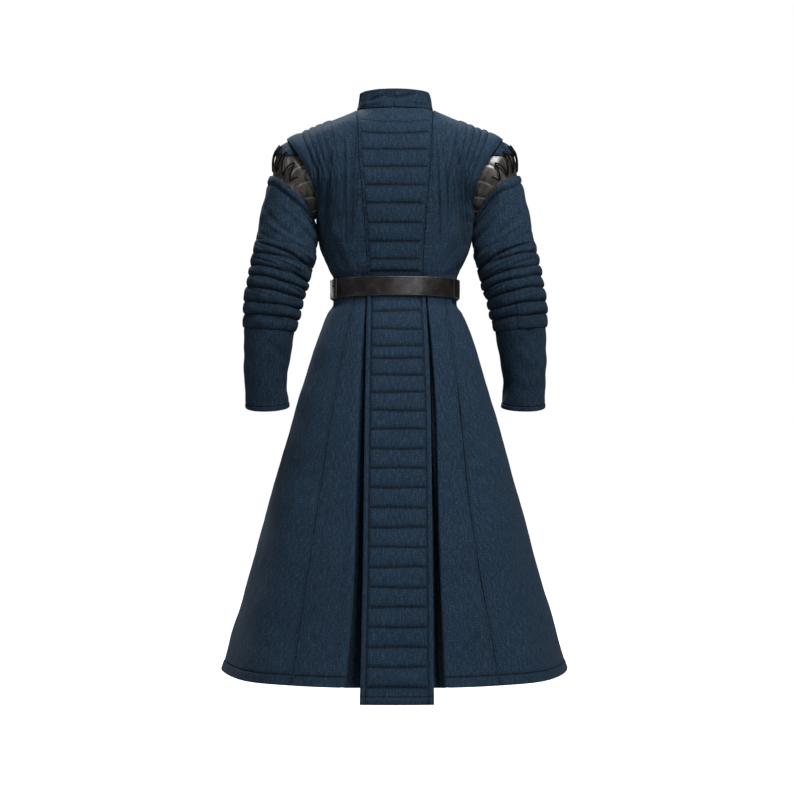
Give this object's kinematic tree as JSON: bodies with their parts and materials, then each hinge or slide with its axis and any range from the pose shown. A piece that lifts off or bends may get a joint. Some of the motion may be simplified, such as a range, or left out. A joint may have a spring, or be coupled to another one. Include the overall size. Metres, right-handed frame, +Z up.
{
  "type": "quilted coat",
  "caption": "Long worn coat of quilted dark blue cloth with a stand collar, leather shoulder bands, rolled elbows, belt, flared skirt and a hanging back tail",
  "frame": {"origin": "middle of the neck opening, at the level of the shoulder seams beside the neck", "axes": "+Z up, the coat faces -Y, its left side is +X"},
  "size_m": [0.8266, 0.6859, 1.4098],
  "materials": {
    "cloth": "matte slubby woven wool",
    "leather": "waxed, slightly shiny",
    "lace": "matte cord",
    "metal": "dull"
  },
  "bodies": {
    "root": {"back_centre": "cloth", "collar": "cloth", "tail": "cloth", "pleat_underlay": "cloth", "back_side_left": "cloth", "back_side_right": "cloth", "front_left": "cloth", "front_right": "cloth", "under_cap_left": "cloth", "under_cap_right": "cloth", "sleeve_upper_left": "cloth", "sleeve_upper_right": "cloth", "sleeve_elbow_left": "cloth", "sleeve_elbow_right": "cloth", "sleeve_lower_left": "cloth", "sleeve_lower_right": "cloth", "skirt_back_left": "cloth", "skirt_back_right": "cloth", "skirt_side_left": "cloth", "skirt_side_right": "cloth", "skirt_front_left": "cloth", "skirt_front_right": "cloth", "belt_back": "leather", "belt_front_left": "leather", "belt_front_right": "leather", "belt_keeper": "leather", "shoulder_band_left": "leather", "shoulder_band_right": "leather", "lace_left": "lace", "lace_right": "lace", "buckle_frame": "metal", "buckle_prong": "metal"}
  },
  "joints": []
}
